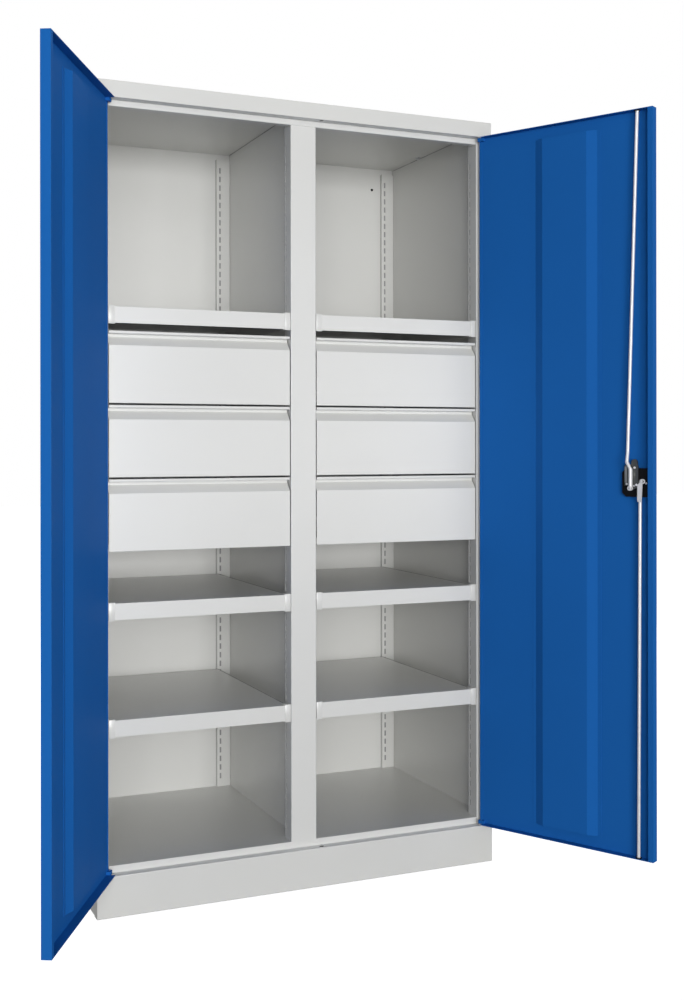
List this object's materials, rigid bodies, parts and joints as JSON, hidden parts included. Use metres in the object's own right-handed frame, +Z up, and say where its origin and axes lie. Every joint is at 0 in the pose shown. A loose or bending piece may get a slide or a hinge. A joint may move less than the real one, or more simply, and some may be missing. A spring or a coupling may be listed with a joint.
{
  "type": "heavy-duty storage cabinet",
  "caption": "Tall two-door steel storage cabinet, stored with its doors open, with two bays of shelves and drawers and a rod lock on the right door.",
  "frame": {"origin": "on the floor, half way across the width, at the middle of the front plinth's foot flange, 15 mm behind the plane of the closed doors", "axes": "+X to the cabinet's right as seen from in front, +Y to the back, +Z up; the doors are stored open, each by 117.8 degrees"},
  "size_m": [1.4606, 1.0384, 1.95],
  "materials": {
    "body_paint": "light grey powder coat, fine texture",
    "door_paint": "strong blue powder coat, semi-gloss",
    "zinc_plated_steel": "bright zinc plating",
    "dark_steel": "dark passivated steel",
    "black_plastic": "moulded, fine grain",
    "chromed_metal": "polished"
  },
  "bodies": {
    "cabinet": {"side_wall_left": "body_paint", "side_wall_right": "body_paint", "roof_cap": "body_paint", "ceiling_panel": "body_paint", "back_panel": "body_paint", "floor_panel": "body_paint", "top_rail": "body_paint", "plinth_front": "body_paint", "plinth_back": "body_paint", "plinth_sides": "body_paint", "centre_post": "body_paint", "partition": "body_paint", "front_upright_left": "body_paint", "front_upright_right": "body_paint", "rear_uprights_left": "body_paint", "rear_uprights_right": "body_paint", "shelf_left_low": "body_paint", "shelf_left_middle": "body_paint", "shelf_left_high": "body_paint", "shelf_right_low": "body_paint", "shelf_right_middle": "body_paint", "shelf_right_high": "body_paint", "shelf_clips_left": "body_paint", "shelf_clips_right": "body_paint", "runner_tracks_left": "zinc_plated_steel", "runner_tracks_right": "zinc_plated_steel", "hinge_pins": "zinc_plated_steel"},
    "right_door": {"right_door_panel": "door_paint", "right_door_stiffener": "door_paint", "right_hinge_blocks": "door_paint", "handle_dish": "black_plastic", "lock_case": "dark_steel", "lock_cylinder": "chromed_metal"},
    "left_door": {"left_door_panel": "door_paint", "left_door_stiffener": "door_paint", "left_hinge_blocks": "door_paint"},
    "handle": {"turn_handle": "black_plastic", "cam_plate": "dark_steel"},
    "key_plug": {"lock_plug": "chromed_metal"},
    "upper_rod": {"upper_rod": "zinc_plated_steel"},
    "lower_rod": {"lower_rod": "zinc_plated_steel"},
    "drawer_left_low": {"drawer_left_low_front": "body_paint", "drawer_left_low_box": "body_paint", "drawer_left_low_slides": "zinc_plated_steel"},
    "drawer_left_middle": {"drawer_left_middle_front": "body_paint", "drawer_left_middle_box": "body_paint", "drawer_left_middle_slides": "zinc_plated_steel"},
    "drawer_left_high": {"drawer_left_high_front": "body_paint", "drawer_left_high_box": "body_paint", "drawer_left_high_slides": "zinc_plated_steel"},
    "drawer_right_low": {"drawer_right_low_front": "body_paint", "drawer_right_low_box": "body_paint", "drawer_right_low_slides": "zinc_plated_steel"},
    "drawer_right_middle": {"drawer_right_middle_front": "body_paint", "drawer_right_middle_box": "body_paint", "drawer_right_middle_slides": "zinc_plated_steel"},
    "drawer_right_high": {"drawer_right_high_front": "body_paint", "drawer_right_high_box": "body_paint", "drawer_right_high_slides": "zinc_plated_steel"}
  },
  "joints": [
    {"name": "left_door_swing", "type": "hinge", "parent": "cabinet", "child": "left_door", "pos_m": [-0.495, -0.009, 1.005], "axis": [0, 0, -1], "range_deg": [-117.8, 0]},
    {"name": "right_door_swing", "type": "hinge", "parent": "cabinet", "child": "right_door", "pos_m": [0.495, -0.009, 1.005], "axis": [0, 0, 1], "range_deg": [-117.8, 0]},
    {"name": "handle_turn", "type": "hinge", "parent": "right_door", "child": "handle", "pos_m": [0.70971, -0.40338, 1.003], "axis": [-0.8846, -0.4664, 0], "range_deg": [-60, 0]},
    {"name": "key_turn", "type": "hinge", "parent": "right_door", "child": "key_plug", "pos_m": [0.70305, -0.39073, 1.027], "axis": [-0.8846, -0.4664, 0], "range_deg": [0, 90]},
    {"name": "upper_rod_slide", "type": "slide", "parent": "right_door", "child": "upper_rod", "axis": [-0.0146, 0.0276, -0.9995], "range_m": [-0.01699, 0]},
    {"name": "lower_rod_slide", "type": "slide", "parent": "right_door", "child": "lower_rod", "axis": [0.0025, -0.0048, 1], "range_m": [-0.0171, 0]},
    {"name": "drawer_left_low_slide", "type": "slide", "parent": "cabinet", "child": "drawer_left_low", "axis": [0, -1, 0], "range_m": [0, 0.4]},
    {"name": "drawer_left_middle_slide", "type": "slide", "parent": "cabinet", "child": "drawer_left_middle", "axis": [0, -1, 0], "range_m": [0, 0.4]},
    {"name": "drawer_left_high_slide", "type": "slide", "parent": "cabinet", "child": "drawer_left_high", "axis": [0, -1, 0], "range_m": [0, 0.4]},
    {"name": "drawer_right_low_slide", "type": "slide", "parent": "cabinet", "child": "drawer_right_low", "axis": [0, -1, 0], "range_m": [0, 0.4]},
    {"name": "drawer_right_middle_slide", "type": "slide", "parent": "cabinet", "child": "drawer_right_middle", "axis": [0, -1, 0], "range_m": [0, 0.4]},
    {"name": "drawer_right_high_slide", "type": "slide", "parent": "cabinet", "child": "drawer_right_high", "axis": [0, -1, 0], "range_m": [0, 0.4]}
  ],
  "couplings": [
    {"joint": "handle_turn", "follows": "upper_rod_slide", "rad_per_m": 61.6},
    {"joint": "lower_rod_slide", "follows": "upper_rod_slide", "ratio": 1}
  ]
}
